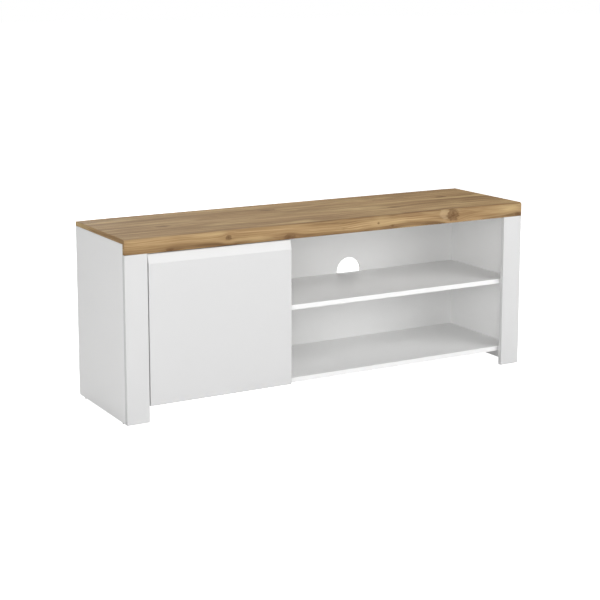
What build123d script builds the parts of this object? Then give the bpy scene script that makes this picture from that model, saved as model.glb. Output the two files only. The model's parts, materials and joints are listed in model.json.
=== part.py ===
from build123d import *

from math import cos, radians, sin
import os

# A low television stand. A bevelled door closes the left compartment, and two open bays, one above
# the other, fill the right. White boards stand under an oak-look top whose front is mitred down.
#
# Frame: millimetres, +Z up, +X to the right and +Y to the back as seen from the front. The origin is
# on the floor, at the middle of the footprint.

# Overall sizes
width = 1500.0
depth = 400.0
height = 582.0
glide_height = 5.0

# Thicknesses
board = 16.0
facing = 16.0  # posts, door and apron, which share one front layer
hardboard = 3.0  # back panels

# Front
apron_height = 48.0
top_round = 9.0  # rounding along the top's front edge
post_width = 75.0
edge_round = 1.2  # broken edges of posts and door
board_round = 0.8  # edging on the other boards
door_width = 497.0
door_gap = 3.5  # to the post and to the apron
door_lift = 2.0  # the door's lower edge stands this far above the bottom panel's underside
grip_height = 30.0  # bevel along the door's top edge
grip_depth = 9.0
buffer_gap = 4.0  # between the closed door and the boards behind it

# Inside
bottom_height = 54.0  # floor to the underside of the bottom panel
lower_bay = 226.5  # clear height of the lower open bay
inner_shelf_rise = 226.5  # bottom panel to the underside of the inner shelf
shelf_slack = 1.2  # at each end of the loose inner shelf
batten_depth = 80.0
outlet_radius = 48.0  # cable outlet in the right back panel
outlet_rise = 4.5  # its centre above the open shelf's top face
back_inset = 8.0  # boards' rear edges to the back panels' rear faces
groove_depth = 7.0
groove_slack = 0.2
strip_wall = 1.0  # H-section strip between the back panels
strip_reach = 6.0  # how far its flanges cover each panel
strip_slack = 0.1
back_end_slack = 0.5  # at the ends of the back panels, inside the grooves

# Planes that the pieces share
left, right = -width / 2, width / 2
front, rear = -depth / 2, depth / 2
inner_left, inner_right = left + board, right - board
carcass_front = front + facing
panel_front = carcass_front + buffer_gap
back_rear = rear - back_inset
back_front = back_rear - hardboard
top_under = height - board
apron_bottom = height - apron_height
bottom_top = bottom_height + board
shelf_under = bottom_top + lower_bay
shelf_top = shelf_under + board
inner_shelf_under = bottom_top + inner_shelf_rise
post_inner_left = left + post_width
door_left = post_inner_left + door_gap
door_right = door_left + door_width
door_bottom = bottom_height + door_lift
door_top = apron_bottom - door_gap
divider_right = door_right  # the door covers the divider's whole front edge
divider_left = divider_right - board
batten_left = post_inner_left - board
batten_rear = carcass_front + batten_depth
divider_rear = back_front - strip_slack - strip_wall

# Knock-down fixings
fixing_slack = 0.05  # radial, round every dowel, cam, screw, nail and pin
row_inset = 50.0  # front and rear fixing rows, from the panels' front and rear edges
dowel_offset = 32.0  # from a cam to the dowel beside it
cam_radius = 7.5
cam_height = 12.5
cam_reach = 24.0  # joint face to the cam's axis
cam_slot_length, cam_slot_width, cam_slot_depth = 9.8, 1.4, 1.2
bolt_thread_radius = 3.0
bolt_thread_length = 11.0
bolt_shank_radius = 3.4
bolt_neck_radius = 2.0
bolt_neck_length = 4.0
bolt_channel = 3.8  # radius of the way that the bolt has through the board and the cam
dowel_radius = 4.0
dowel_in_face = 10.0
dowel_in_edge = 20.0
dowel_chamfer = 1.0
bore_spare = 1.0  # extra depth at the end of every bore


def boards_in(x, y, z):
    """Fill the box between the low and high ends given on each axis."""
    with Locations(((x[0] + x[1]) / 2, (y[0] + y[1]) / 2, (z[0] + z[1]) / 2)):
        Box(x[1] - x[0], y[1] - y[0], z[1] - z[0])


def seat(x, y, z, into, face=(0, 0, -1)):
    """A fixing's frame: Z runs into the board that is held, X towards its cam's open face."""
    return Plane(origin=(x, y, z), x_dir=face, z_dir=into).location


def peg(radius, low, high, mode=Mode.ADD):
    """A cylinder on the local Z axis between two heights."""
    with Locations((0, 0, low)):
        Cylinder(radius, high - low, align=(Align.CENTER, Align.CENTER, Align.MIN), mode=mode)


# Directions
upwards, downwards = (0, 0, 1), (0, 0, -1)
forwards, leftwards = (0, -1, 0), (-1, 0, 0)

# Where the boards meet. Each joint has a cam near its front and rear ends and a dowel beside each.
cam_rows = [panel_front + row_inset, back_front - row_inset]
dowel_rows = [cam_rows[0] + dowel_offset, cam_rows[1] - dowel_offset]
bottom_middle = bottom_height + board / 2
shelf_middle = shelf_under + board / 2
divider_middle = divider_left + board / 2
batten_middle = batten_left + board / 2
side_middle = width / 2 - board / 2


def joint_seats(rows):
    """The frames of every board joint at the given rows."""
    seats = []
    for y in rows:
        for hand in (-1, 1):
            inwards = (-hand, 0, 0)
            seats.append(seat(hand * (width / 2 - board), y, bottom_middle, inwards))
            seats.append(seat(hand * side_middle, y, top_under, downwards, inwards))
        seats.append(seat(divider_middle, y, top_under, downwards, (-1, 0, 0)))
        seats.append(seat(divider_middle, y, bottom_top, upwards, (-1, 0, 0)))
        seats.append(seat(divider_right, y, shelf_middle, (1, 0, 0)))
        seats.append(seat(inner_right, y, shelf_middle, (-1, 0, 0)))
    return seats


batten_cam_row = carcass_front + batten_depth * 0.35
batten_dowel_row = carcass_front + batten_depth * 0.75
cam_seats = joint_seats(cam_rows)
dowel_seats = joint_seats(dowel_rows)
for joint_height, into in ((bottom_top, upwards), (top_under, downwards)):
    cam_seats.append(seat(batten_middle, batten_cam_row, joint_height, into, (-1, 0, 0)))
    dowel_seats.append(seat(batten_middle, batten_dowel_row, joint_height, into, (-1, 0, 0)))

# Dowels that carry the posts on the side panels and the batten on the left post
post_span = apron_bottom - glide_height
post_dowel_rows = [glide_height + post_span * share for share in (0.06, 0.34, 0.66, 0.94)]
batten_dowel_rows = [glide_height + post_span * share for share in (0.24, 0.5, 0.84)]
for z in post_dowel_rows:
    for hand in (-1, 1):
        dowel_seats.append(seat(hand * side_middle, carcass_front, z, (0, 1, 0)))
for z in batten_dowel_rows:
    dowel_seats.append(seat(batten_middle, carcass_front, z, (0, 1, 0)))

# Back panel nails, driven forwards
nail_radius = 0.7
nail_length = 20.0
nail_head_radius = 1.6
nail_head = 0.6
nail_margin = 60.0
nails_per_span = 6
nails_behind_door = 4


def spread(low, high, count):
    """Evenly spaced values that keep the nail margin at both ends."""
    step = (high - low - 2 * nail_margin) / (count - 1)
    return [low + nail_margin + step * number for number in range(count)]


nail_seats = [seat(x, back_rear, bottom_middle, forwards)
              for x in spread(inner_left, divider_left, nails_behind_door)]
for z in (bottom_middle, shelf_middle):
    nail_seats += [seat(x, back_rear, z, forwards)
                   for x in spread(divider_right, inner_right, nails_per_span)]

# Loose inner shelf on four pins, with spare pin holes above and below
pin_radius = 2.5
pin_in_board = 8.0
pin_reach = 8.0
pin_collar_radius = 4.0
pin_collar = 1.0
pin_inset = 40.0
pin_pitch = 32.0
inner_shelf_front = batten_rear + 4.0
pin_rows = [inner_shelf_front + pin_inset, back_front - pin_inset]
pin_height = inner_shelf_under - pin_radius


def pin_seats(z):
    """Frames of the four shelf pins at one height: Z runs out of the board into the compartment."""
    seats = [seat(inner_left, y, z, (1, 0, 0)) for y in pin_rows]
    return seats + [seat(divider_left, y, z, (-1, 0, 0)) for y in pin_rows]


pin_hole_seats = [spot for step in (-1, 0, 1) for spot in pin_seats(pin_height + step * pin_pitch)]

# Glides nailed under the side panels
glide_radius = 6.0
glide_pin_radius = 1.25
glide_pin_length = 12.0
glide_round = 1.5
glide_inset = 44.0
glide_seats = [seat(hand * side_middle, y, glide_height, upwards, (1, 0, 0))
               for hand in (-1, 1) for y in (front + glide_inset, rear - glide_inset)]

# Angle brackets between the side panels and the posts
bracket_wall = 1.5
bracket_leg = 20.0
bracket_width = 16.0
bracket_hole = bracket_leg * 0.6  # corner to the screw's axis
bracket_rise = 20.0  # the bottom panel's top face to the lowest bracket's middle
bracket_drop = 53.0  # the apron's lower edge to the highest bracket's middle
bracket_low, bracket_high = bottom_top + bracket_rise, apron_bottom - bracket_drop
bracket_rows = [bracket_low, (bracket_low + bracket_high) / 2, bracket_high]
screw_radius = 1.7
screw_length = 13.0
screw_head_radius = 3.4
screw_head = 1.8
bracket_seats, bracket_screw_seats = [], []
for z in bracket_rows:
    for hand in (-1, 1):
        side_face = hand * (width / 2 - board)
        corner = Plane(origin=(side_face, carcass_front, z), x_dir=(-hand, 0, 0), z_dir=(0, 0, -hand))
        bracket_seats.append(corner.location)
        bracket_screw_seats.append(
            seat(side_face - hand * bracket_wall, carcass_front + bracket_hole, z, (hand, 0, 0)))
        bracket_screw_seats.append(
            seat(side_face - hand * bracket_hole, carcass_front + bracket_wall, z, forwards))

# Single-pivot concealed hinges. A cup let into the door turns on a pin near its hinge-side rim, and a
# bent arm reaches round the door's edge from a plate on the batten to the eye on that pin.
opening_angle = 95.0
hinge_inset = 90.0  # hinge centres, from the door's lower and upper edges
hinge_heights = [door_bottom + hinge_inset, door_top - hinge_inset]
pivot_inset = 9.5  # the door's hinge-side edge to the pivot
pivot_rise = 9.0  # the pivot to the door's back face
pivot_x, pivot_y = door_left + pivot_inset, carcass_front - pivot_rise
cup_radius = 17.5
cup_edge = 4.5  # of the door, left beside the cup
cup_inset = cup_edge + cup_radius
cup_depth = 12.3
cup_wall = 0.8
cup_floor = 0.6
cup_flange = 1.0
cup_rim = 1.2  # the flange's reach past the cup all round
ear_width = 20.0
ear_reach = cup_radius + 13.5  # cup's centre to the end of an ear
ear_round = 4.0
ear_screw = cup_radius + 7.5  # cup's centre to an ear screw
hinge_pin_radius = 1.2
hinge_pin_length = 20.0
lug_width = 6.4
lug_rise = 3.0  # from the pivot out to the lugs' ends
lug_slack = 0.3  # to each end of the arm's eye
running_slack = 0.05
arm_wall = 2.4
arm_height = 12.0
arm_bend = 3.0
eye_radius = 2.4
arm_lead = 13.0  # first leg, inside the cup
arm_dip = 1.1
arm_rise = 16.0  # second leg, out of the cup
arm_lean = 1.5
arm_shoulder = 25.0  # where the arm turns back along its plate, behind the pivot
arm_tail = 66.0  # the arm's rear end, behind the pivot
plate_wall = 2.0
plate_height = 44.0
plate_length = 22.0
plate_middle = 50.0  # behind the pivot
plate_round = 5.0
plate_screw = 16.0  # plate's centre to a plate screw
plate_screw_radius, plate_screw_length = 2.2, 13.0
plate_screw_head_radius, plate_screw_head = 4.0, 2.0
arm_screw_radius, arm_screw_length = 2.0, 7.0
arm_screw_head_radius, arm_screw_head = 3.8, 1.6
cup_screw_radius, cup_screw_length = 1.7, 11.0
cup_screw_head_radius, cup_screw_head = 3.4, 1.6
seat_block = 3.0  # raised pad between plate and arm
seat_length = 18.0
arm_line = post_inner_left + plate_wall + seat_block + arm_wall / 2 - pivot_x

# Door buffers on the divider's front edge
buffer_radius = 4.0
buffer_slack = 0.3  # to the closed door
buffer_round = 1.2
buffer_margin = 30.0
buffer_heights = [door_bottom + buffer_margin, door_top - grip_height - buffer_margin]


plate_y = pivot_y + plate_middle
arm_face = pivot_x + arm_line + arm_wall / 2
plate_seats = [Plane(origin=(post_inner_left, plate_y, z), x_dir=(0, 1, 0), z_dir=(1, 0, 0)).location
               for z in hinge_heights]
cup_seats = [Plane(origin=(door_left + cup_inset, carcass_front, z), x_dir=(1, 0, 0), z_dir=forwards).location
             for z in hinge_heights]
plate_screw_seats = [seat(post_inner_left + plate_wall, plate_y, z + side * plate_screw, leftwards)
                     for z in hinge_heights for side in (-1, 1)]
arm_screw_seats = [seat(arm_face, plate_y, z, leftwards) for z in hinge_heights]
cup_screw_seats = [seat(door_left + cup_inset, carcass_front + cup_flange, z + side * ear_screw, forwards)
                   for z in hinge_heights for side in (-1, 1)]
screw_slot_width = 0.9


def screw(radius, length, head_radius, head):
    """A cross-headed screw: its shank runs along +Z and its head ends at the local origin."""
    peg(radius, 0, length)
    peg(head_radius, -head, 0)
    with Locations((0, 0, -head)):
        Box(head_radius * 1.2, screw_slot_width, head, mode=Mode.SUBTRACT)
        Box(screw_slot_width, head_radius * 1.2, head, mode=Mode.SUBTRACT)


# One of each fixing, in its seat's frame
cam_face = Plane(origin=(board / 2, 0, cam_reach), z_dir=(-1, 0, 0)).location

with BuildPart() as cam:
    with Locations(cam_face):
        peg(cam_radius, 0, cam_height)
        Box(cam_slot_length, cam_slot_width, 2 * cam_slot_depth, mode=Mode.SUBTRACT)
        Box(cam_slot_width, cam_slot_length, 2 * cam_slot_depth, mode=Mode.SUBTRACT)
    peg(bolt_channel, 0, cam_reach + bolt_neck_length, Mode.SUBTRACT)

with BuildPart() as cam_bolt:
    peg(bolt_thread_radius, -bolt_thread_length, 0)
    peg(bolt_shank_radius, 0, cam_reach - bolt_neck_length - bolt_shank_radius)
    peg(bolt_neck_radius, 0, cam_reach)
    with Locations((0, 0, cam_reach)):
        Sphere(bolt_shank_radius)

with BuildPart() as dowel:
    peg(dowel_radius, -dowel_in_face, dowel_in_edge)
    chamfer(dowel.edges().filter_by(GeomType.CIRCLE), dowel_chamfer)

with BuildPart() as nail:
    peg(nail_radius, 0, nail_length)
    peg(nail_head_radius, -nail_head, 0)

with BuildPart() as pin:
    peg(pin_radius, -pin_in_board, pin_reach)
    peg(pin_collar_radius, 0, pin_collar)

with BuildPart() as glide:
    peg(glide_radius, -glide_height, 0)
    fillet(glide.faces().sort_by(Axis.Z)[0].edges(), glide_round)
    peg(glide_pin_radius, 0, glide_pin_length)

with BuildPart() as bracket:
    with BuildSketch(Plane.XY.offset(-bracket_width / 2)):
        Rectangle(bracket_leg, bracket_wall, align=(Align.MIN, Align.MIN))
        Rectangle(bracket_wall, bracket_leg, align=(Align.MIN, Align.MIN))
    extrude(amount=bracket_width)
    with Locations(Plane(origin=(bracket_hole, 0, 0), z_dir=(0, 1, 0)).location):
        peg(screw_radius + fixing_slack, 0, bracket_wall, Mode.SUBTRACT)
    with Locations(Plane(origin=(0, bracket_hole, 0), z_dir=(1, 0, 0)).location):
        peg(screw_radius + fixing_slack, 0, bracket_wall, Mode.SUBTRACT)

# Every bore in the boards, as one cutter
with BuildPart() as bores:
    with Locations(*cam_seats):
        with Locations(cam_face):
            peg(cam_radius + fixing_slack, 0, cam_height + fixing_slack)
        peg(bolt_channel, 0, cam_reach + bolt_neck_length)
        peg(bolt_thread_radius + fixing_slack, -bolt_thread_length - bore_spare, 0)
    with Locations(*dowel_seats):
        peg(dowel_radius + fixing_slack, -dowel_in_face - bore_spare, dowel_in_edge + bore_spare)
    with Locations(*nail_seats):
        peg(nail_radius + fixing_slack, 0, nail_length + bore_spare)
    with Locations(*pin_hole_seats):
        peg(pin_radius + fixing_slack, -pin_in_board - bore_spare, 0)
    with Locations(*glide_seats):
        peg(glide_pin_radius + fixing_slack, 0, glide_pin_length + bore_spare)
    with Locations(*bracket_screw_seats):
        peg(screw_radius + fixing_slack, 0, screw_length + bore_spare)
    with Locations(*plate_screw_seats):
        peg(plate_screw_radius + fixing_slack, 0, plate_screw_length + bore_spare)


def drill():
    """Cut the bores out of the board that is being made."""
    add(bores.part, mode=Mode.SUBTRACT)


def edges_near(piece, y=None, z=None):
    """Edges along X of a piece that lie at one depth and one height."""
    picked = piece.edges().filter_by(Axis.X)
    picked = picked.filter_by_position(Axis.Y, y, y)
    return picked.filter_by_position(Axis.Z, z, z)


# The top: a board and an apron cut from it, folded down at a mitre behind the rounded front edge
round_y, round_z = front + top_round, height - top_round


def round_point(turn):
    """A point of the rounded edge, by its angle in degrees from the top face towards the front."""
    return round_y - top_round * sin(radians(turn)), round_z + top_round * cos(radians(turn))


fold = round_point(45)
groove = (back_front - groove_slack / 2, back_rear + groove_slack / 2)

with BuildPart() as top_board:
    with BuildSketch(Plane.YZ.offset(left)):
        with BuildLine():
            Line(fold, (carcass_front, top_under))
            Line((carcass_front, top_under), (rear, top_under))
            Line((rear, top_under), (rear, height))
            Line((rear, height), (round_y, height))
            ThreePointArc((round_y, height), round_point(22.5), fold)
        make_face()
    extrude(amount=width)
    ends = top_board.faces().filter_by(Axis.X).edges()
    fillet(ends.filter_by(lambda edge: edge.center().Z > height - top_round / 4), board_round)
    with Locations(((inner_left + inner_right) / 2, (groove[0] + groove[1]) / 2, top_under)):
        Box(inner_right - inner_left + 2 * groove_depth, groove[1] - groove[0], 2 * groove_depth,
            mode=Mode.SUBTRACT)
    drill()

with BuildPart() as top_apron:
    with BuildSketch(Plane.YZ.offset(left)):
        with BuildLine():
            Line(fold, (carcass_front, top_under))
            Line((carcass_front, top_under), (carcass_front, apron_bottom))
            Line((carcass_front, apron_bottom), (front, apron_bottom))
            Line((front, apron_bottom), (front, round_z))
            ThreePointArc((front, round_z), round_point(67.5), fold)
        make_face()
    extrude(amount=width)
    ends = top_apron.faces().filter_by(Axis.X).edges()
    fillet(ends.filter_by(lambda edge: edge.center().Y < front + top_round / 4), board_round)

# Sides and posts, made alike for both hands
side_panels, posts = {}, {}
for side_name, hand in (("left", -1), ("right", 1)):
    outer, inner = hand * width / 2, hand * (width / 2 - board)
    post_inner = hand * (width / 2 - post_width)
    with BuildPart() as side_panel:
        boards_in(sorted((outer, inner)), (carcass_front, rear), (glide_height, top_under))
        outer_edge = side_panel.edges().filter_by(Axis.Z).filter_by_position(Axis.Y, rear, rear)
        fillet(outer_edge, board_round)
        with Locations((inner, (groove[0] + groove[1]) / 2, (glide_height + top_under) / 2)):
            Box(2 * groove_depth, groove[1] - groove[0], top_under - glide_height, mode=Mode.SUBTRACT)
        drill()
    side_panels[side_name] = side_panel
    with BuildPart() as post:
        boards_in(sorted((outer, post_inner)), (front, carcass_front), (glide_height, apron_bottom))
        fillet(post.faces().sort_by(Axis.Y)[0].edges(), edge_round)
        drill()
    posts[side_name] = post

# Boards inside the carcass
with BuildPart() as bottom_panel:
    boards_in((inner_left, inner_right), (panel_front, back_front), (bottom_height, bottom_top))
    fillet(bottom_panel.faces().sort_by(Axis.Y)[0].edges().filter_by(Axis.X), board_round)
    drill()

with BuildPart() as divider:
    boards_in((divider_left, divider_right), (panel_front, divider_rear), (bottom_top, top_under))
    fillet(divider.faces().sort_by(Axis.Y)[0].edges().filter_by(Axis.Z), board_round)
    drill()

with BuildPart() as open_shelf:
    boards_in((divider_right, inner_right), (panel_front, back_front), (shelf_under, shelf_top))
    fillet(open_shelf.faces().sort_by(Axis.Y)[0].edges().filter_by(Axis.X), board_round)
    drill()

with BuildPart() as inner_shelf:
    boards_in((inner_left + shelf_slack, divider_left - shelf_slack),
              (inner_shelf_front, back_front - shelf_slack),
              (inner_shelf_under, inner_shelf_under + board))
    fillet(inner_shelf.faces().sort_by(Axis.Y)[0].edges().filter_by(Axis.X), board_round)

with BuildPart() as hinge_batten:
    boards_in((batten_left, post_inner_left), (carcass_front, batten_rear), (bottom_top, top_under))
    fillet(hinge_batten.faces().sort_by(Axis.Y)[-1].edges().filter_by(Axis.Z), board_round)
    drill()

# Back panels slide up into the grooves and meet in the H-section strip behind the divider
panel_edge_slack = strip_wall / 2 + strip_slack
back_panel_top = top_under + groove_depth - back_end_slack

with BuildPart() as left_back_panel:
    boards_in((inner_left - groove_depth + back_end_slack, divider_middle - panel_edge_slack),
              (back_front, back_rear), (bottom_height, back_panel_top))
    drill()

with BuildPart() as right_back_panel:
    boards_in((divider_middle + panel_edge_slack, inner_right + groove_depth - back_end_slack),
              (back_front, back_rear), (bottom_height, back_panel_top))
    outlet_middle = (divider_right + inner_right) / 2
    with Locations(seat(outlet_middle, back_rear, shelf_top + outlet_rise, forwards)):
        peg(outlet_radius, 0, hardboard, Mode.SUBTRACT)
    drill()

with BuildPart() as back_joining_strip:
    flange = strip_reach * 2 + strip_wall
    panels_middle = (back_front + back_rear) / 2
    with BuildSketch(Plane.XY.offset(bottom_top)):
        with Locations((divider_middle, panels_middle)):
            Rectangle(strip_wall, hardboard + 2 * strip_slack + strip_wall)
        for side in (-1, 1):
            with Locations((divider_middle,
                            panels_middle + side * (hardboard / 2 + strip_slack + strip_wall / 2))):
                Rectangle(flange, strip_wall)
    extrude(amount=top_under - bottom_top)

# The door, with its finger grip sloping back along the top edge
with BuildPart() as door_panel:
    boards_in((door_left, door_right), (front, carcass_front), (door_bottom, door_top))
    chamfer(edges_near(door_panel, front, door_top), grip_height, grip_depth)
    door_ends = door_panel.faces().filter_by(Axis.X).edges()
    fillet(door_ends.filter_by(Axis.Z), edge_round)
    with Locations(*cup_seats):
        peg(cup_radius, 0, cup_depth, Mode.SUBTRACT)
    with Locations(*cup_screw_seats):
        peg(cup_screw_radius + fixing_slack, 0, cup_screw_length + bore_spare, Mode.SUBTRACT)

# Hardware in groups of separate solids
with BuildPart() as cam_housings:
    with Locations(*cam_seats):
        add(cam.part)

with BuildPart() as cam_bolts:
    with Locations(*cam_seats):
        add(cam_bolt.part)

with BuildPart() as wooden_dowels:
    with Locations(*dowel_seats):
        add(dowel.part)

with BuildPart() as back_nails:
    with Locations(*nail_seats):
        add(nail.part)

with BuildPart() as shelf_pins:
    with Locations(*pin_seats(pin_height)):
        add(pin.part)

with BuildPart() as glides:
    with Locations(*glide_seats):
        add(glide.part)

with BuildPart() as post_brackets:
    with Locations(*bracket_seats):
        add(bracket.part)

with BuildPart() as post_bracket_screws:
    with Locations(*bracket_screw_seats):
        screw(screw_radius, screw_length, screw_head_radius, screw_head)

with BuildPart() as door_bumpers:
    with Locations(*[seat(divider_middle, panel_front, z, forwards) for z in buffer_heights]):
        peg(buffer_radius, 0, buffer_gap - buffer_slack)
    fillet(door_bumpers.faces().filter_by(Axis.Y).edges().group_by(Axis.Y)[0], buffer_round)

# Hinge pieces, in the frames of the pivot, the plate and the cup
with BuildPart() as arm:
    with BuildSketch(Plane.XY.offset(-arm_height / 2)):
        with BuildLine():
            FilletPolyline((0, 0), (arm_lead, -arm_dip), (arm_lead + arm_lean, arm_rise - arm_dip),
                           (arm_line, arm_shoulder), (arm_line, arm_tail), radius=arm_bend)
        trace(line_width=arm_wall)
        Circle(eye_radius)
    extrude(amount=arm_height)
    peg(hinge_pin_radius + running_slack, -arm_height, arm_height, Mode.SUBTRACT)
    with Locations(seat(arm_line + arm_wall / 2, plate_middle, 0, leftwards)):
        peg(arm_screw_radius + fixing_slack, 0, arm_wall, Mode.SUBTRACT)

with BuildPart() as plate:
    with BuildSketch():
        RectangleRounded(plate_length, plate_height, plate_round)
    extrude(amount=plate_wall)
    with BuildSketch(Plane.XY.offset(plate_wall)):
        Rectangle(seat_length, arm_height)
    extrude(amount=seat_block)
    with Locations((0, -plate_screw, 0), (0, plate_screw, 0)):
        peg(plate_screw_radius + fixing_slack, 0, plate_wall, Mode.SUBTRACT)
    peg(arm_screw_radius + fixing_slack, 0, plate_wall + seat_block, Mode.SUBTRACT)

shell_radius = cup_radius - fixing_slack
shell_depth = cup_depth - fixing_slack
hollow_radius, hollow_depth = shell_radius - cup_wall, shell_depth - cup_floor
pivot_in_cup = Plane(origin=(pivot_inset - cup_inset, 0, pivot_rise), z_dir=(0, 1, 0)).location

with BuildPart() as lugs:
    peg(shell_radius, pivot_rise - lug_rise, shell_depth)
    with Locations((pivot_inset - cup_inset, 0, shell_depth / 2)):
        Box(lug_width, 2 * cup_radius, 2 * cup_depth, mode=Mode.INTERSECT)
        Box(2 * lug_width, arm_height + 2 * lug_slack, 2 * cup_depth, mode=Mode.SUBTRACT)

with BuildPart() as cup:
    peg(shell_radius, 0, shell_depth)
    with BuildSketch(Plane.XY.offset(-cup_flange)):
        Circle(cup_radius + cup_rim)
        RectangleRounded(ear_width, 2 * ear_reach, ear_round)
    extrude(amount=cup_flange)
    peg(hollow_radius, -cup_flange, hollow_depth, Mode.SUBTRACT)
    add(lugs.part)
    with Locations(pivot_in_cup):
        peg(hinge_pin_radius + running_slack, -hinge_pin_length / 2, hinge_pin_length / 2, Mode.SUBTRACT)
    with Locations((0, -ear_screw, 0), (0, ear_screw, 0)):
        peg(cup_screw_radius + fixing_slack, -cup_flange, 0, Mode.SUBTRACT)

hinge_pieces = {}
for level, z, plate_seat, cup_seat in zip(("lower", "upper"), hinge_heights, plate_seats, cup_seats):
    with BuildPart() as hinge_plate:
        with Locations(plate_seat):
            add(plate.part)
    with BuildPart() as hinge_arm:
        with Locations((pivot_x, pivot_y, z)):
            add(arm.part)
    with BuildPart() as hinge_cup:
        with Locations(cup_seat):
            add(cup.part)
    with BuildPart() as hinge_pin:
        with Locations((pivot_x, pivot_y, z)):
            peg(hinge_pin_radius, -hinge_pin_length / 2, hinge_pin_length / 2)
    hinge_pieces[level] = {"hinge_plate": hinge_plate, "hinge_arm": hinge_arm,
                           "hinge_cup": hinge_cup, "hinge_pin": hinge_pin}

with BuildPart() as hinge_plate_screws:
    with Locations(*plate_screw_seats):
        screw(plate_screw_radius, plate_screw_length, plate_screw_head_radius, plate_screw_head)

with BuildPart() as hinge_arm_screws:
    with Locations(*arm_screw_seats):
        screw(arm_screw_radius, arm_screw_length, arm_screw_head_radius, arm_screw_head)

with BuildPart() as hinge_cup_screws:
    with Locations(*cup_screw_seats):
        screw(cup_screw_radius, cup_screw_length, cup_screw_head_radius, cup_screw_head)

# Name every piece and write it out
pieces = {
    "top_board": top_board,
    "top_apron": top_apron,
    "left_side_panel": side_panels["left"],
    "right_side_panel": side_panels["right"],
    "left_post": posts["left"],
    "right_post": posts["right"],
    "bottom_panel": bottom_panel,
    "divider": divider,
    "open_shelf": open_shelf,
    "inner_shelf": inner_shelf,
    "hinge_batten": hinge_batten,
    "left_back_panel": left_back_panel,
    "right_back_panel": right_back_panel,
    "back_joining_strip": back_joining_strip,
    "door_panel": door_panel,
    "cam_housings": cam_housings,
    "cam_bolts": cam_bolts,
    "wooden_dowels": wooden_dowels,
    "back_nails": back_nails,
    "shelf_pins": shelf_pins,
    "glides": glides,
    "post_brackets": post_brackets,
    "post_bracket_screws": post_bracket_screws,
    "door_bumpers": door_bumpers,
    "hinge_plate_screws": hinge_plate_screws,
    "hinge_arm_screws": hinge_arm_screws,
    "hinge_cup_screws": hinge_cup_screws,
}
for level, level_pieces in hinge_pieces.items():
    for piece_name, piece in level_pieces.items():
        pieces[f"{level}_{piece_name}"] = piece

os.makedirs("parts", exist_ok=True)
for name, piece in pieces.items():
    piece.part.label = name
    export_step(piece.part, f"parts/{name}.step")
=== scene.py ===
# %% [markdown]
# # A low television stand, white with an oak-look top
#
# The cabinet's boards, hinges and fittings come from a finished CAD model, which is loaded as a fixed
# frame. This lesson gives each of them its finish, makes the foil-wrapped oak top as one folded
# surface, and then sets up a plain studio. All lengths are metres.

# %% Load the frame
import json
from math import pi, radians

import bpy
import numpy as np
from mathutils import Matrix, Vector


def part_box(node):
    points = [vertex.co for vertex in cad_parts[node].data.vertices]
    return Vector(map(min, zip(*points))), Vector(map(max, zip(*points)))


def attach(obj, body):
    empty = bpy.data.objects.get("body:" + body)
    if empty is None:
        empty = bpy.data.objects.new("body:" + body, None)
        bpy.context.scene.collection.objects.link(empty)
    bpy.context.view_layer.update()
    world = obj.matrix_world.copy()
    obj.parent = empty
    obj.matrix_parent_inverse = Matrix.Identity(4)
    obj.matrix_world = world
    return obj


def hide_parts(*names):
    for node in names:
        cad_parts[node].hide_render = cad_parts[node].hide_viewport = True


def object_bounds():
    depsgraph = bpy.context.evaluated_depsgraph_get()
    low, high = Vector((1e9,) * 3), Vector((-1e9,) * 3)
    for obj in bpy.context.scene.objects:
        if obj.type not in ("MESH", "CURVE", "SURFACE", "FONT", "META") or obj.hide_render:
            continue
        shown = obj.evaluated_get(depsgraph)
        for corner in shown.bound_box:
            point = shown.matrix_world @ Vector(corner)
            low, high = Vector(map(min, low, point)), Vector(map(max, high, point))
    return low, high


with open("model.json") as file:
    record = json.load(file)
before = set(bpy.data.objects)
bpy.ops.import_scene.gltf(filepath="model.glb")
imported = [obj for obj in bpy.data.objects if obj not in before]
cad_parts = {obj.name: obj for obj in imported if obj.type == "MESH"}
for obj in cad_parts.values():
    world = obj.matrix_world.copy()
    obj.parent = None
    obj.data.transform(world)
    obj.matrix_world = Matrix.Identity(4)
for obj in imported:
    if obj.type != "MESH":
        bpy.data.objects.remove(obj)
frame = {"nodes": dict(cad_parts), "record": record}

MM = 0.001  # lengths that are small on the real object are written in millimetres
cad_low, cad_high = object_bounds()
print("nodes:", len(frame["nodes"]), "size:", [round(v, 3) for v in cad_high - cad_low])

# %% [markdown]
# ## Short ways to write shader nodes
#
# A material in Blender is a graph of nodes. Adding nodes one by one takes several lines each, so a few
# small helpers are written first. One adds any node and wires what it is given. Others add a Math node,
# a mix, a colour ramp or a noise and hand back its result, so that a formula reads like a formula.
# The last two make a node group with named sockets and place it in a tree.

# %% Node helpers
def add_node(tree, kind, values=None, **settings):
    """Add a shader node, set its properties, and wire or set the inputs named in values."""
    node = tree.nodes.new("ShaderNode" + kind)
    for key, value in settings.items():
        setattr(node, key, value)
    for name, value in (values or {}).items():
        feed(tree, node.inputs[name], value)
    return node


def feed(tree, socket, value):
    """Wire an output into a socket, or set the socket's own value."""
    if isinstance(value, bpy.types.NodeSocket):
        tree.links.new(value, socket)
    else:
        socket.default_value = value


def calc(tree, operation, *values, clamp=False):
    """The result of a Math node on numbers or outputs."""
    node = add_node(tree, "Math", operation=operation, use_clamp=clamp)
    for socket, value in zip(node.inputs, values):
        feed(tree, socket, value)
    return node.outputs[0]


def mix_colors(tree, amount, first, second):
    """The result of mixing two colours by an amount from 0 to 1."""
    node = add_node(tree, "Mix", data_type="RGBA")
    for index, value in ((0, amount), (6, first), (7, second)):
        feed(tree, node.inputs[index], value)
    return node.outputs[2]


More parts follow.
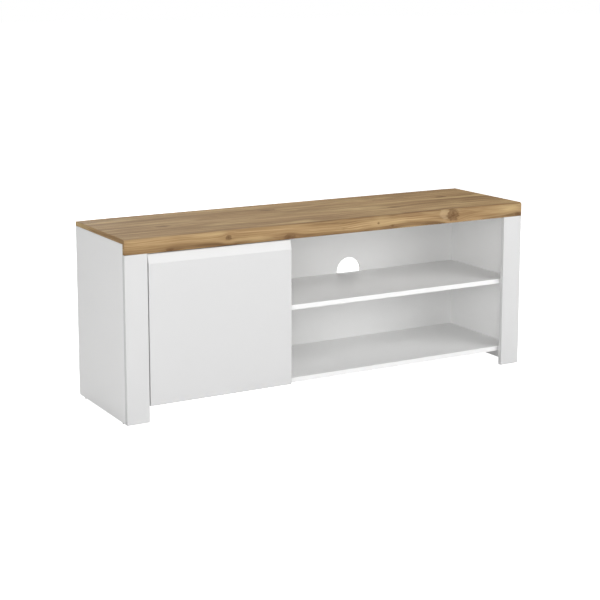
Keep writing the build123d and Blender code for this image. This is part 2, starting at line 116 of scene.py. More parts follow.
def ramp(tree, amount, stops):
    """A colour ramp through (place, colour) stops."""
    node = add_node(tree, "ValToRGB", {"Fac": amount})
    elements = node.color_ramp.elements
    while len(elements) < len(stops):
        elements.new(0.5)
    for element, (place, color) in zip(elements, stops):
        element.position = place
        element.color = (*color, 1.0)
    return node.outputs["Color"]


def stretched_noise(tree, vector, scale, detail=2.0, roughness=0.5):
    """Noise with its own scale along each axis, from 0 to 1."""
    mapping = add_node(tree, "Mapping", {"Vector": vector, "Scale": scale})
    noise = add_node(tree, "TexNoise", {"Vector": mapping.outputs[0], "Scale": 1.0, "Detail": detail,
                                        "Roughness": roughness})
    return noise.outputs["Fac"]


def new_group(name, inputs, outputs):
    """A node group with named sockets. Returns its tree and its input and output nodes."""
    tree = bpy.data.node_groups.new(name, "ShaderNodeTree")
    for socket_name, kind, value in inputs:
        socket = tree.interface.new_socket(socket_name, in_out="INPUT", socket_type="NodeSocket" + kind)
        if value is not None:
            socket.default_value = value
    for socket_name, kind in outputs:
        tree.interface.new_socket(socket_name, in_out="OUTPUT", socket_type="NodeSocket" + kind)
    return tree, tree.nodes.new("NodeGroupInput"), tree.nodes.new("NodeGroupOutput")


def place_group(tree, group, **values):
    """Put a node group in a tree with its named inputs."""
    node = add_node(tree, "Group", node_tree=group)
    for name, value in values.items():
        feed(tree, node.inputs[name], value)
    return node


print("helpers ready")

# %% [markdown]
# ## Shared effects
#
# Melamine board, moulded plastic and plated steel all look flat from afar, yet none of them is
# perfectly smooth. Each has a fine grit that breaks up its highlights, and a slow drift in tone that
# comes from the press or the plating bath. One group makes both, and every finish sets its own scale.

# %% Grit and drift
def make_grit_group():
    """Grit is one fine noise, and drift is a second one with a lower scale, so it changes slowly."""
    tree, source, result = new_group(
        "grit_and_drift",
        [("Vector", "Vector", None), ("Grit Scale", "Float", 900.0), ("Drift Scale", "Float", 5.0)],
        [("Grit", "Float"), ("Drift", "Float")])
    grit = add_node(tree, "TexNoise", {"Vector": source.outputs["Vector"], "Detail": 3.0,
                                       "Scale": source.outputs["Grit Scale"]})
    drift = add_node(tree, "TexNoise", {"Vector": source.outputs["Vector"], "Detail": 2.0,
                                        "Scale": source.outputs["Drift Scale"]})
    tree.links.new(grit.outputs["Fac"], result.inputs["Grit"])
    tree.links.new(drift.outputs["Fac"], result.inputs["Drift"])
    return tree


grit_group = make_grit_group()
print("group:", grit_group.name)

# %% [markdown]
# Every plain finish is then the same small graph. The drift mixes a slightly darker and a slightly
# lighter tone of the colour, and the grit varies the roughness and feeds a Bump node. Metallic and coat
# are the same all over, so they are set on the shader itself.

# %% A finish built on grit and drift
GRIT_HEIGHT = 0.2 * MM
COAT_ROUGHNESS = 0.12


def object_coordinates(tree):
    """Coordinates in the object's own space, which is the whole cabinet's frame."""
    return add_node(tree, "TexCoord").outputs["Object"]


def new_finish(name):
    """An empty material with a Principled shader. Returns the material, its tree and the shader."""
    material = bpy.data.materials.new(name)
    material.use_nodes = True
    tree = material.node_tree
    return material, tree, tree.nodes["Principled BSDF"]


def tone(color, factor):
    """A colour made lighter or darker."""
    return [min(channel * factor, 1.0) for channel in color[:3]] + [1.0]


def plain_finish(name, color, roughness, metallic=0.0, grit_scale=900.0, drift_scale=5.0, drift=0.03,
                 bump=0.02, uneven=0.08, coat=0.0, stretch=(1.0, 1.0, 1.0)):
    """A finish of one colour whose tone drifts, whose gloss varies and whose surface has a grit."""
    material, tree, shader = new_finish(name)
    mapping = add_node(tree, "Mapping", {"Vector": object_coordinates(tree), "Scale": stretch})
    effect = place_group(tree, grit_group, Vector=mapping.outputs[0])
    effect.inputs["Grit Scale"].default_value = grit_scale
    effect.inputs["Drift Scale"].default_value = drift_scale
    hue = mix_colors(tree, effect.outputs["Drift"], tone(color, 1.0 - drift), tone(color, 1.0 + drift))
    tree.links.new(hue, shader.inputs["Base Color"])
    gloss = calc(tree, "MULTIPLY_ADD", effect.outputs["Grit"], uneven, roughness - uneven / 2)
    tree.links.new(gloss, shader.inputs["Roughness"])
    raised = add_node(tree, "Bump", {"Height": effect.outputs["Grit"], "Strength": bump,
                                     "Distance": GRIT_HEIGHT})
    tree.links.new(raised.outputs["Normal"], shader.inputs["Normal"])
    shader.inputs["Metallic"].default_value = metallic
    shader.inputs["Coat Weight"].default_value = coat
    shader.inputs["Coat Roughness"].default_value = COAT_ROUGHNESS
    return material


print("plain finishes ready")

# %% [markdown]
# ## White boards
#
# The body of the cabinet is chipboard faced with white melamine, which is satin and has a very fine
# pressed texture. The door and the posts are wrapped in a smoother, glossier foil, so they get a
# lower roughness and a thin clear coat. The strip that joins the two back panels is moulded white
# plastic, the glides are dark plastic, and the door's bumpers are soft and greyish.

# %% White finishes
finishes = {
    "white_board": plain_finish("white_melamine", (0.885, 0.885, 0.88), 0.42, grit_scale=1400.0,
                                drift=0.012, bump=0.05),
    "white_door": plain_finish("white_gloss_foil", (0.68, 0.68, 0.68), 0.22, grit_scale=260.0,
                               drift=0.008, bump=0.015, uneven=0.04, coat=0.20),
    "white_plastic": plain_finish("white_moulding", (0.76, 0.76, 0.75), 0.38, grit_scale=1800.0, bump=0.06),
    "black_plastic": plain_finish("dark_moulding", (0.05, 0.05, 0.05), 0.45, grit_scale=1800.0, bump=0.06),
    "clear_bumper": plain_finish("soft_bumper", (0.70, 0.70, 0.68), 0.30, grit_scale=900.0, bump=0.02),
}
print("white finishes:", sorted(finishes))

# %% [markdown]
# ## Metals
#
# The hinges are pressed from nickel-plated strip, the screws and pins are zinc plated, and the cams
# are die-cast. Plating keeps the fine lines that rolling leaves in the strip. A stretched grit gives
# those lines, and the cast cams get a coarser, even one.

# %% Metal finishes
finishes["nickel"] = plain_finish("nickel_plate", (0.62, 0.60, 0.56), 0.24, metallic=1.0, grit_scale=240.0,
                                  drift_scale=40.0, drift=0.05, bump=0.12, stretch=(1.0, 1.0, 9.0))
finishes["steel"] = plain_finish("zinc_plated_steel", (0.60, 0.61, 0.63), 0.32, metallic=1.0,
                                 grit_scale=700.0, drift_scale=60.0, drift=0.08, bump=0.10)
finishes["zinc"] = plain_finish("cast_zinc", (0.50, 0.50, 0.51), 0.46, metallic=1.0, grit_scale=500.0,
                                drift_scale=60.0, drift=0.10, bump=0.25)
print("metals:", ["nickel", "steel", "zinc"])

# %% [markdown]
# ## Hardboard back
#
# The back is hardboard, which is brown. Only its front face is lacquered white. The white is mixed in
# by depth: a point closer to the front face than the lacquer's thickness is white, and the rest,
# which shows from behind and at the cut edge of the cable outlet, is pressed brown fibre.

# %% Hardboard finish
LACQUER = 0.15 * MM
FIBRE_HEIGHT = 0.3 * MM
FIBRE_SHARE, CLOUD_SHARE = 0.65, 0.35
LACQUER_ROUGHNESS, FIBRE_ROUGHNESS = 0.40, 0.75


def make_hardboard():
    """White lacquer on the front face, and mottled brown fibre behind it."""
    material, tree, shader = new_finish("lacquered_hardboard")
    place = object_coordinates(tree)
    panel_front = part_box("right_back_panel")[0].y
    depth = add_node(tree, "SeparateXYZ", {"Vector": place}).outputs["Y"]
    behind = calc(tree, "GREATER_THAN", depth, panel_front + LACQUER)
    fibre = stretched_noise(tree, place, (170.0, 170.0, 170.0), detail=5.0, roughness=0.65)
    clouds = stretched_noise(tree, place, (9.0, 9.0, 9.0), detail=3.0)
    tint = calc(tree, "MULTIPLY_ADD", clouds, CLOUD_SHARE, calc(tree, "MULTIPLY", fibre, FIBRE_SHARE))
    brown = ramp(tree, tint,
                 [(0.32, (0.115, 0.066, 0.034)), (0.5, (0.205, 0.125, 0.066)), (0.68, (0.31, 0.20, 0.115))])
    white = mix_colors(tree, clouds, (0.865, 0.865, 0.86, 1.0), (0.885, 0.885, 0.88, 1.0))
    tree.links.new(mix_colors(tree, behind, white, brown), shader.inputs["Base Color"])
    tree.links.new(calc(tree, "MULTIPLY_ADD", behind, FIBRE_ROUGHNESS - LACQUER_ROUGHNESS,
                        LACQUER_ROUGHNESS), shader.inputs["Roughness"])
    mesh_marks = add_node(tree, "TexVoronoi", {"Vector": place, "Scale": 620.0})
    height = calc(tree, "MULTIPLY", behind, mesh_marks.outputs["Distance"])
    raised = add_node(tree, "Bump", {"Height": height, "Strength": 0.35, "Distance": FIBRE_HEIGHT})
    tree.links.new(raised.outputs["Normal"], shader.inputs["Normal"])
    return material


finishes["hardboard"] = make_hardboard()
print("hardboard ready")

# %% [markdown]
# ## Beech dowels
#
# The dowels are raw beech: pale, pinkish and full of small dark flecks. They are hidden once the
# cabinet is built, but a part in a library is looked at in pieces too.

# %% Beech finish
FLECK_LEVEL, FLECK_STRENGTH = 0.64, 0.5
FLECK_BROWN = (0.38, 0.23, 0.13, 1.0)


def make_beech():
    """Pale wood toned by one noise, with a fleck wherever a finer noise is high."""
    material, tree, shader = new_finish("raw_beech")
    place = object_coordinates(tree)
    grain = stretched_noise(tree, place, (90.0, 90.0, 90.0), detail=3.0)
    flecks = stretched_noise(tree, place, (400.0, 400.0, 400.0), detail=1.0)
    dots = calc(tree, "GREATER_THAN", flecks, FLECK_LEVEL)
    wood = ramp(tree, grain, [(0.3, (0.52, 0.35, 0.21)), (0.7, (0.68, 0.50, 0.33))])
    color = mix_colors(tree, calc(tree, "MULTIPLY", dots, FLECK_STRENGTH), wood, FLECK_BROWN)
    tree.links.new(color, shader.inputs["Base Color"])
    shader.inputs["Roughness"].default_value = 0.6
    return material


finishes["beech"] = make_beech()
print("beech ready")

# %% [markdown]
# ## Oak figure
#
# The top is faced with a foil printed as wild oak: long wavy grain, fine pores, a few open cracks and
# some knots that the grain flows round. The pattern is worked out on the flat foil, where u runs along
# the top and v runs across it, so that it wraps over the front edge as the real foil does.
#
# A knot does two things. It pushes the grain lines apart, because near it the across coordinate is
# squeezed towards the knot's own. It also darkens a core and a few rings, whose edge a noise makes
# ragged. That is one node group, placed once for every knot.

# %% One knot
PULL, PULL_FALL = 0.8, 0.22  # how far v is drawn in, and how fast that dies away
RAGGED = 1.4  # how far a knot's edge strays, in radii
EDGE_FALL, EDGE_START = 1.8, 3.5
RING_COUNT, RING_DEPTH, RING_TONE = 9.0, 0.17, 0.66


def make_knot_group():
    """New V is v drawn towards the centre, by a bell exp(-fall * far squared). Dark is core times rings."""
    tree, source, result = new_group(
        "knot",
        [("U", "Float", 0.0), ("V", "Float", 0.0), ("Centre U", "Float", 0.0), ("Centre V", "Float", 0.0),
         ("Radius", "Float", 0.01), ("Stretch", "Float", 1.5)],
        [("New V", "Float"), ("Core", "Float"), ("Dark", "Float")])
    value = source.outputs
    along = calc(tree, "DIVIDE", calc(tree, "SUBTRACT", value["U"], value["Centre U"]), value["Stretch"])
    across = calc(tree, "SUBTRACT", value["V"], value["Centre V"])
    square = calc(tree, "ADD", calc(tree, "MULTIPLY", along, along), calc(tree, "MULTIPLY", across, across))
    far = calc(tree, "DIVIDE", calc(tree, "SQRT", square), value["Radius"])
    bell = calc(tree, "EXPONENT", calc(tree, "MULTIPLY", calc(tree, "MULTIPLY", far, far), -PULL_FALL))
    pulled = calc(tree, "MULTIPLY", calc(tree, "MULTIPLY", across, bell), -PULL)
    tree.links.new(calc(tree, "ADD", value["V"], pulled), result.inputs["New V"])
    flat = add_node(tree, "CombineXYZ", {"X": value["U"], "Y": value["V"]}).outputs[0]
    ragged = calc(tree, "MULTIPLY_ADD", stretched_noise(tree, flat, (70.0, 110.0, 1.0)), RAGGED, far)
    core = calc(tree, "MULTIPLY_ADD", ragged, -EDGE_FALL, EDGE_START, clamp=True)
    ripple = calc(tree, "SINE", calc(tree, "MULTIPLY", ragged, RING_COUNT))
    rings = calc(tree, "MULTIPLY_ADD", ripple, RING_DEPTH, RING_TONE)
    tree.links.new(core, result.inputs["Core"])
    tree.links.new(calc(tree, "MULTIPLY", core, rings), result.inputs["Dark"])
    return tree


knot_group = make_knot_group()
print("group:", knot_group.name)

# %% [markdown]
# The knots are placed in the cabinet's own measures: how far from the left end, and how far up
# the foil from the apron's foot, over the rounded edge and on across the top. The last two numbers are
# a knot's radius and how much longer it is along the grain. Beside the largest knot the print is
# bleached, and that spot has the same four numbers. A streak runs the whole length at its own height.

# %% Knots and dark streaks
knots = [  # u from the left end, v up the foil, radius, stretch
    (1.206, 0.028, 0.0200, 1.15),
    (0.351, 0.025, 0.0080, 1.3),
    (0.568, 0.008, 0.0085, 2.4),
    (1.486, 0.008, 0.0065, 2.0),
    (0.905, 0.024, 0.0035, 1.4),
    (0.960, 0.010, 0.0028, 1.8),
    (0.150, 0.006, 0.0040, 3.0),
    (0.205, 0.210, 0.0100, 2.4),
    (0.640, 0.330, 0.0120, 2.6),
    (1.050, 0.175, 0.0085, 2.8),
    (1.330, 0.290, 0.0110, 2.2),
]
BLEACHED_SPOT = (1.168, 0.032, 0.012, 1.5)
streaks = [  # v up the foil, half width, strength
    (0.004, 0.0100, 0.95),
    (0.050, 0.0055, 0.60),
    (0.118, 0.0060, 0.30),
    (0.236, 0.0080, 0.35),
    (0.345, 0.0070, 0.40),
]
print("knots:", len(knots), "streaks:", len(streaks))

# %% [markdown]
# The figure is built in layers, and each layer is a short function that adds its nodes to the same tree.
# First comes the bent grain, which is v drawn in by the knots and swung by slow waves. Bands, lines,
# streaks, cracks and pores are all drawn on that bent v, so they flow round the knots.

# %% Grain bent by knots and waves
WAVE_SWING = 0.045
KNOT_SOCKETS = ("Centre U", "Centre V", "Radius", "Stretch")


def place_knot(tree, u, v, numbers):
    """Place the knot group at (centre u, centre v, radius, stretch)."""
    knot = place_group(tree, knot_group, U=u, V=v)
    for name, number in zip(KNOT_SOCKETS, numbers):
        knot.inputs[name].default_value = number
    return knot


def bend_grain(tree, flat, u, v):
    """v drawn in by each knot in turn, and the same v with slow waves added. Also the knots' dark."""
    bent, knot_dark = v, 0.0
    for numbers in knots:
        knot = place_knot(tree, u, bent, numbers)
        bent = knot.outputs["New V"]
        knot_dark = calc(tree, "MAXIMUM", knot.outputs["Dark"], knot_dark)
    waves = stretched_noise(tree, flat, (2.2, 9.0, 1.0), detail=2.0)
    wavy = calc(tree, "MULTIPLY_ADD", calc(tree, "SUBTRACT", waves, 0.5), WAVE_SWING, bent)
    return bent, wavy, knot_dark


print("grain bends round", len(knots), "knots")

# %% [markdown]
# The wood's tone is a mix of broad bands and fine lines, both very long in u and short in v. A ramp
# turns it into brown and tan. Slow patches then lean it to red, and other patches to pale sapwood.

# %% Tones of the wood
LINE_SHARE, BAND_SHARE = 0.46, 0.54
RED_SHARE = 0.35
RED_BROWN = (0.38, 0.215, 0.110, 1.0)
SAPWOOD = (0.560, 0.405, 0.200, 1.0)
WOOD_TONES = [(0.34, (0.130, 0.071, 0.027)), (0.43, (0.262, 0.160, 0.068)),
              (0.51, (0.380, 0.250, 0.114)), (0.61, (0.555, 0.392, 0.200))]


def tone_wood(tree, flat, grain, lines):
    """Colour of the wood between its marks, from bands, lines and two kinds of patch."""
    bands = stretched_noise(tree, grain, (1.1, 34.0, 1.0), detail=4.0, roughness=0.6)
    tint = calc(tree, "MULTIPLY_ADD", lines, LINE_SHARE, calc(tree, "MULTIPLY", bands, BAND_SHARE))
    wood = ramp(tree, tint, WOOD_TONES)
    patches = stretched_noise(tree, flat, (3.0, 14.0, 1.0), detail=1.0)
    wood = mix_colors(tree, calc(tree, "MULTIPLY", patches, RED_SHARE), wood, RED_BROWN)
    pale = stretched_noise(tree, grain, (3.6, 21.0, 1.0), detail=3.0)
    return mix_colors(tree, calc(tree, "MULTIPLY_ADD", pale, 5.0, -2.6, clamp=True), wood, SAPWOOD)


print("wood tones:", len(WOOD_TONES))

# %% [markdown]
# Three kinds of dark mark lie on the wood. Streaks are bands round a set height, broken up by a noise.
# Cracks are thin lines where a slow noise crosses its middle value. Pores are short fine dashes.

# %% Streaks, cracks and pores
CRACK_WIDTH = 0.018
CRACK_STRENGTH, PORE_STRENGTH = 0.8, 0.35


def mark_streaks(tree, flat, wavy):
    """Each streak is 1 - |v - height| / half width, times its strength; the darkest one counts."""
    dark = 0.0
    for height, half_width, strength in streaks:
        off = calc(tree, "ABSOLUTE", calc(tree, "SUBTRACT", wavy, height))
        body = calc(tree, "SUBTRACT", 1.0, calc(tree, "DIVIDE", off, half_width), clamp=True)
        dark = calc(tree, "MAXIMUM", calc(tree, "MULTIPLY", body, strength), dark)
    broken = stretched_noise(tree, flat, (5.0, 12.0, 1.0), detail=2.0)
    return calc(tree, "MULTIPLY", dark, calc(tree, "MULTIPLY_ADD", broken, 4.2, -1.35, clamp=True))


def mark_cracks(tree, flat, grain):
    """1 - |noise - 0.5| / width, kept only where a second noise is high."""
    winding = stretched_noise(tree, grain, (2.6, 48.0, 1.0), detail=3.0)
    seam = calc(tree, "ABSOLUTE", calc(tree, "SUBTRACT", winding, 0.5))
    crack = calc(tree, "SUBTRACT", 1.0, calc(tree, "DIVIDE", seam, CRACK_WIDTH), clamp=True)
    where = stretched_noise(tree, flat, (4.5, 16.0, 1.0), detail=1.0)
    return calc(tree, "MULTIPLY", crack, calc(tree, "MULTIPLY_ADD", where, 7.0, -3.6, clamp=True))


def mark_pores(tree, grain):
    """The high tips of a noise that is drawn out along the grain."""
    fibres = stretched_noise(tree, grain, (18.0, 1500.0, 1.0), detail=2.0)
    return calc(tree, "MULTIPLY_ADD", fibres, 5.0, -3.0, clamp=True)


print("streaks:", len(streaks))

# %% [markdown]
# The group puts the layers together. Cracks and pores are also sunk into the surface, and the paler
# lines are a little glossier than the dark ones, so the group has a height and a gloss as well.

# %% The oak figure as a group
MARK_BROWN = (0.150, 0.080, 0.032, 1.0)
KNOT_BROWN = (0.125, 0.060, 0.022, 1.0)
BLEACHED, BLEACHED_STRENGTH = (0.580, 0.430, 0.260, 1.0), 0.32
PORE_DEPTH = 0.6
DULLEST, GLOSS_RANGE = 0.68, 0.16


def make_oak_group():
    """Colour, height and gloss of the printed oak, from the flat foil's coordinates in metres."""
    tree, source, result = new_group("oak_figure", [("Vector", "Vector", None)],
                                     [("Color", "Color"), ("Height", "Float"), ("Gloss", "Float")])
    flat = source.outputs["Vector"]
    parts = add_node(tree, "SeparateXYZ", {"Vector": flat})
    u, v = parts.outputs["X"], parts.outputs["Y"]
    bent, wavy, knot_dark = bend_grain(tree, flat, u, v)
    grain = add_node(tree, "CombineXYZ", {"X": u, "Y": wavy}).outputs[0]
    lines = stretched_noise(tree, grain, (4.0, 260.0, 1.0), detail=3.0, roughness=0.6)
    crack, pores = mark_cracks(tree, flat, grain), mark_pores(tree, grain)
    dark = calc(tree, "MAXIMUM", calc(tree, "MULTIPLY", crack, CRACK_STRENGTH),
                mark_streaks(tree, flat, wavy))
    dark = calc(tree, "MAXIMUM", dark, calc(tree, "MULTIPLY", pores, PORE_STRENGTH))
    color = mix_colors(tree, dark, tone_wood(tree, flat, grain, lines), MARK_BROWN)
    spot = place_knot(tree, u, bent, BLEACHED_SPOT).outputs["Core"]
    color = mix_colors(tree, calc(tree, "MULTIPLY", spot, BLEACHED_STRENGTH), color, BLEACHED)
    tree.links.new(mix_colors(tree, knot_dark, color, KNOT_BROWN), result.inputs["Color"])
    sunk = calc(tree, "MAXIMUM", crack, calc(tree, "MULTIPLY", pores, PORE_DEPTH))
    tree.links.new(calc(tree, "SUBTRACT", lines, sunk), result.inputs["Height"])
    tree.links.new(calc(tree, "MULTIPLY_ADD", lines, -GLOSS_RANGE, DULLEST), result.inputs["Gloss"])
    return tree


oak_group = make_oak_group()
print("group:", oak_group.name, "nodes:", len(oak_group.nodes))

# %% [markdown]
# ## The folded top
#
# The real top is one faced board, cut with a mitre along its front and folded down, so the foil runs
# without a break from the top, round the front edge and down the apron. In CAD it is two solids. Here
# it is one closed surface: the board's profile is worked out once, carried along the width, and drawn
# in a little at both ends so that they are rounded too. The distance along the profile becomes v of
# the foil map, which is why the figure can wrap.

# %% Profile of the top
def arc(centre, radius, start, stop, count):
    """Points on an arc: centre plus radius times (cos, sin), between two angles in degrees."""
    turn = np.radians(np.linspace(start, stop, count))
    return np.stack([centre[0] + radius * np.cos(turn), centre[1] + radius * np.sin(turn)], axis=1)


board_low, board_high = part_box("top_board")
apron_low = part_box("top_apron")[0]
apron_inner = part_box("left_post")[1].y  # the mitre runs on behind the apron's inner face
apron_thickness = apron_inner - apron_low.y
FRONT_ROUND = 9.0 * MM
EDGE_ROUND = 0.8 * MM
FRONT_STEPS, EDGE_STEPS = 17, 5


def top_profile(inset):
    """The profile in depth and height, drawn in by inset all round. It starts at the apron's foot."""
    front, foot, crown = apron_low.y + inset, apron_low.z + inset, board_high.z - inset
    back, under, inner = board_high.y - inset, board_low.z + inset, apron_inner - inset
    small, large = EDGE_ROUND, FRONT_ROUND - inset
    return np.concatenate([
        arc((front + small, foot + small), small, 270, 180, EDGE_STEPS),
        arc((front + large, crown - large), large, 180, 90, FRONT_STEPS),
        arc((back - small, crown - small), small, 90, 0, EDGE_STEPS),
        arc((back - small, under + small), small, 0, -90, EDGE_STEPS),
        [(inner, under), (inner, foot)],
    ])


flat_profile = top_profile(0.0)
print("profile points:", len(flat_profile))

# %% [markdown]
# The mesh is a row of such profiles. Near each end they are set closer together and drawn in along a
# quarter circle, which rounds the end. Neighbouring profiles are joined by four-sided faces, and one
# many-sided face closes each end.

# %% Mesh of the top
RINGS_ALONG = 25


def build_top():
    """Rings of the profile along X; at each end the inset follows a quarter circle to the end face."""
    swing = np.radians(np.linspace(0, 90, EDGE_STEPS))
    step_in = EDGE_ROUND * (1 - np.cos(swing[::-1]))
    step_on = EDGE_ROUND * (1 - np.sin(swing[::-1]))
    low, high = board_low.x, board_high.x
    places = np.concatenate([low + step_on[::-1], np.linspace(low, high, RINGS_ALONG)[1:-1],
                             high - step_on])
    insets = np.concatenate([step_in[::-1], np.zeros(RINGS_ALONG - 2), step_in])
    rings = np.stack([top_profile(inset) for inset in insets])
    count = rings.shape[1]
    points = np.empty((len(places), count, 3))
    points[..., 0] = places[:, None]
    points[..., 1:] = rings
    run = np.concatenate([[0.0], np.cumsum(np.linalg.norm(np.diff(flat_profile, axis=0), axis=1))])
    index = np.arange(len(places) * count).reshape(len(places), count)
    here, ahead = index[:-1], index[1:]
    sides = np.stack([here, ahead, np.roll(ahead, -1, 1), np.roll(here, -1, 1)], axis=-1).reshape(-1, 4)
    ends = [index[0].tolist(), index[-1][::-1].tolist()]
    mesh = bpy.data.meshes.new("oak_top")
    mesh.from_pydata(points.reshape(-1, 3).tolist(), [], sides[:, ::-1].tolist() + ends)
    return mesh, points, run


top_mesh, top_points, top_run = build_top()
print("top faces:", len(top_mesh.polygons))

# %% [markdown]
# The foil covers what is seen. The underside of the top and the back of the apron are plain white, as
# on a real faced board, so the bays below them stay bright. The run along the profile tells them
# apart: the white starts where the back edge ends and stops at the apron's foot.

# %% Oak finish
UNDER_WHITE = (0.80, 0.79, 0.775, 1.0)
GRAIN_HEIGHT = 0.25 * MM


def make_oak(white_start, white_stop):
    """The oak figure laid on a piece by its foil map, and white between two runs along the profile."""
    material, tree, shader = new_finish("oak_foil")
    foil = add_node(tree, "UVMap", uv_map="foil").outputs["UV"]
    figure = place_group(tree, oak_group, Vector=foil)
    run = add_node(tree, "SeparateXYZ", {"Vector": foil}).outputs["Y"]
    under = calc(tree, "MULTIPLY", calc(tree, "GREATER_THAN", run, white_start),
                 calc(tree, "LESS_THAN", run, white_stop))
    tree.links.new(mix_colors(tree, under, figure.outputs["Color"], UNDER_WHITE),
                   shader.inputs["Base Color"])
    tree.links.new(figure.outputs["Gloss"], shader.inputs["Roughness"])
    shader.inputs["Specular IOR Level"].default_value = 0.25
    raised = add_node(tree, "Bump", {"Height": figure.outputs["Height"], "Strength": 0.25,
                                     "Distance": GRAIN_HEIGHT})
    tree.links.new(raised.outputs["Normal"], shader.inputs["Normal"])
    return material


finishes["oak_foil"] = make_oak(top_run[-3], top_run[-1])
print("oak ready, white from", round(top_run[-3], 4), "to", round(top_run[-1], 4))

# %% [markdown]
# The foil map is filled face corner by face corner. On the long faces u is the distance from the left
# end and v is the distance up the profile. The two end faces are edged with a strip of the same foil,
# whose grain runs from front to back.

# %% Foil map of the top
END_STRIP = (3.0, 0.2)  # where on the flat foil the end faces' strip is cut from


def map_top(mesh):
    """UV in metres. Each corner takes its vertex's run along the profile, ends take depth and height."""
    profile_count = top_points.shape[1]
    corners = np.empty(len(mesh.loops), int)
    mesh.loops.foreach_get("vertex_index", corners)
    place = top_points.reshape(-1, 3)[corners]
    step = corners % profile_count
    run = np.append(top_run, top_run[-1] + apron_thickness)
    sizes = np.array([len(face.vertices) for face in mesh.polygons])
    face_of_corner = np.repeat(np.arange(len(sizes)), sizes)
    steps_high = np.zeros(len(sizes), int)
    np.maximum.at(steps_high, face_of_corner, step)
    steps_low = np.full(len(sizes), profile_count)
    np.minimum.at(steps_low, face_of_corner, step)
    closing = (steps_high - steps_low == profile_count - 1) & (sizes == 4)
    wrapped = closing[face_of_corner] & (step == 0)
    across = np.where(wrapped, run[-1], run[step])
    flat = np.stack([place[:, 0] - cad_low.x, across], axis=1)
    end_face = sizes[face_of_corner] > 4
    strip = np.stack([place[:, 1] + END_STRIP[0], place[:, 2] - board_low.z + END_STRIP[1]], axis=1)
    flat = np.where(end_face[:, None], strip, flat)
    layer = mesh.uv_layers.new(name="foil")
    layer.data.foreach_set("uv", flat.ravel())


map_top(top_mesh)
print("mapped corners:", len(top_mesh.loops))

# %% [markdown]
# The finished mesh becomes an object at the origin. It rides the carcass, stands in for the two CAD
# boards, and keeps their material slot. Faces that meet at more than a set angle keep a sharp edge.

# %% The top as an object
SHARP_ANGLE = 35  # degrees
top_mesh.polygons.foreach_set("use_smooth", np.ones(len(top_mesh.polygons), bool))
top_mesh.set_sharp_from_angle(angle=radians(SHARP_ANGLE))
oak_top = bpy.data.objects.new("oak_top", top_mesh)
bpy.context.scene.collection.objects.link(oak_top)
oak_top.data.materials.append(finishes["oak_foil"])
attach(oak_top, "carcass")
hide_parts("top_board", "top_apron")
print("oak_top spans", [round(v, 4) for v in oak_top.dimensions])

# %% [markdown]
# ## Finishes on the CAD pieces
#
# The record says which material slot each piece belongs to, so one loop hands every piece its finish.

# %% Hand out the finishes
slot_of = {entry["node"]: entry["material_slot"] for entry in frame["record"]["subparts"]}
for name, node in frame["nodes"].items():
    finish = finishes[slot_of[name]]
    if node.material_slots:
        for holder in node.material_slots:
            holder.material = finish
    else:
        node.data.materials.append(finish)
print("finished nodes:", len(frame["nodes"]))

# %% [markdown]
# ## Studio
#
# The stand is on a wide pale floor, under a faint even sky and six soft panels. The floor and the sky
# both light it with one strength and show to the camera with another, through a Light Path node. So
# both can be pure white in the render, as a lit sweep is, without washing out the cabinet.

# %% Floor
FLOOR_GLOW = 0.03  # what lights the cabinet from below
FLOOR_SEEN = 1.0  # what the camera sees


def make_floor():
    """A large flat floor at the cabinet's feet."""
    half = 40.0
    mesh = bpy.data.meshes.new("studio_floor")
    mesh.from_pydata([(-half, -half, 0), (half, -half, 0), (half, half, 0), (-half, half, 0)], [],
                     [(0, 1, 2, 3)])
    floor = bpy.data.objects.new("studio_floor", mesh)
    bpy.context.scene.collection.objects.link(floor)
    material, tree, shader = new_finish("studio_sweep")
    shader.inputs["Base Color"].default_value = (0.82, 0.82, 0.82, 1.0)
    shader.inputs["Roughness"].default_value = 0.9
    shader.inputs["Specular IOR Level"].default_value = 0.0
    shader.inputs["Emission Color"].default_value = (1.0, 1.0, 1.0, 1.0)
    straight = add_node(tree, "LightPath").outputs["Is Camera Ray"]
    glow = calc(tree, "MULTIPLY_ADD", straight, FLOOR_SEEN - FLOOR_GLOW, FLOOR_GLOW)
    tree.links.new(glow, shader.inputs["Emission Strength"])
    mesh.materials.append(material)
    return floor


floor = make_floor()
print("floor:", floor.name)

# %% [markdown]
# The panels are large, so their shadows are soft. Three of them light the front and shine into the open
# bays: one low on the left, a weak one above it, and a strong one high on the right. Another weak one
# keeps the left end a little darker than the front. One overhead lifts the top, and one behind keeps
# the back from going black when the camera is there.

# %% Sky and soft panels
SKY_STRENGTH = 0.07
AIM = (0.0, 0.0, 0.3)


def make_sky():
    """An even sky that lights with one strength and shows to the camera as white."""
    world = bpy.data.worlds.new("studio_sky")
    bpy.context.scene.world = world
    world.use_nodes = True
    tree = world.node_tree
    tree.nodes.clear()
    lit = add_node(tree, "Background", {"Color": (1.0, 1.0, 1.0, 1.0), "Strength": SKY_STRENGTH})
    seen = add_node(tree, "Background", {"Color": (1.0, 1.0, 1.0, 1.0), "Strength": 1.0})
    straight = add_node(tree, "LightPath").outputs["Is Camera Ray"]
    both = add_node(tree, "MixShader", {"Fac": straight})
    tree.links.new(lit.outputs[0], both.inputs[1])
    tree.links.new(seen.outputs[0], both.inputs[2])
    result = add_node(tree, "OutputWorld")
    tree.links.new(both.outputs[0], result.inputs["Surface"])


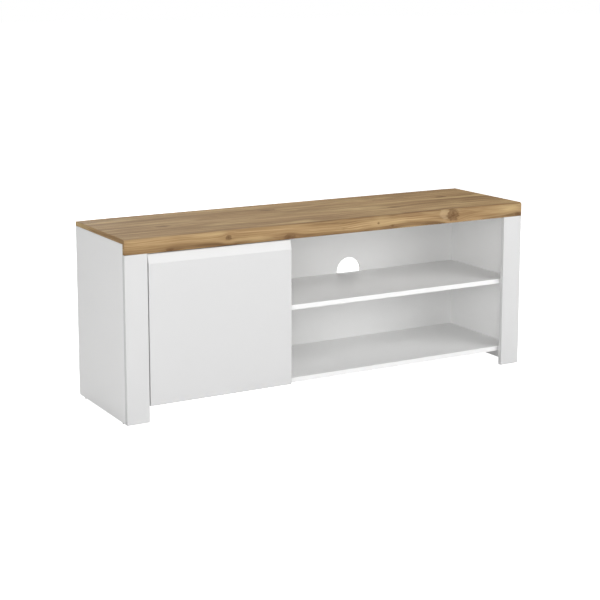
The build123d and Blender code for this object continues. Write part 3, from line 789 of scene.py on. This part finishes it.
def make_panel(name, place, target, size, power):
    """A square area light at a place, facing a target and hidden from the camera."""
    light = bpy.data.lights.new(name, "AREA")
    light.shape = "SQUARE"
    light.size = size
    light.energy = power
    panel = bpy.data.objects.new(name, light)
    panel.location = place
    panel.visible_camera = False
    panel.rotation_euler = (Vector(target) - Vector(place)).to_track_quat("-Z", "Y").to_euler()
    bpy.context.scene.collection.objects.link(panel)


make_sky()
panels = [  # name, place, size, power in watts
    ("low_left", (-3.4, -4.4, 0.9), 3.0, 124.0),
    ("high_left", (-2.6, -3.8, 2.8), 3.0, 32.0),
    ("high_right", (2.9, -4.2, 2.7), 4.6, 205.0),
    ("left_side", (-5.2, -1.0, 1.6), 3.0, 48.0),
    ("overhead", (0.4, 1.4, 3.0), 2.2, 52.0),
    ("back_fill", (-0.3, 4.6, 1.2), 2.0, 60.0),
]
for name, place, size, power in panels:
    make_panel(name, place, AIM, size, power)

# %% [markdown]
# ## Camera
#
# The camera stands at the left front, three quarters of a metre above the top and about five metres
# away with a long lens, and looks slightly down. A small shift puts the stand in the middle of the
# square render.

# %% Camera
def make_camera(place, azimuth, pitch, focal, shift):
    """Azimuth 0 looks along +Y and grows towards +X, and pitch is downwards, both in degrees."""
    camera = bpy.data.cameras.new("camera")
    camera.lens = focal
    camera.sensor_width = 36.0
    camera.shift_y = shift
    camera.clip_end = 200.0
    holder = bpy.data.objects.new("camera", camera)
    holder.location = place
    holder.rotation_euler = (pi / 2 - radians(pitch), 0.0, -radians(azimuth))
    bpy.context.scene.collection.objects.link(holder)
    bpy.context.scene.camera = holder
    return holder


camera = make_camera(place=(-2.3974, -4.1382, 1.3504), azimuth=29.78, pitch=9.08, focal=86.4,
                     shift=-0.15)
bpy.context.scene.view_settings.view_transform = "Standard"
print("camera at", [round(v, 3) for v in camera.location])

# %% [markdown]
# ## Sizes
#
# Last, the size of the CAD model is printed. The new top should reach exactly as far as the boards that it
# replaces.

# %% Size of the CAD model
print("CAD size:", [round(v, 4) for v in cad_high - cad_low])
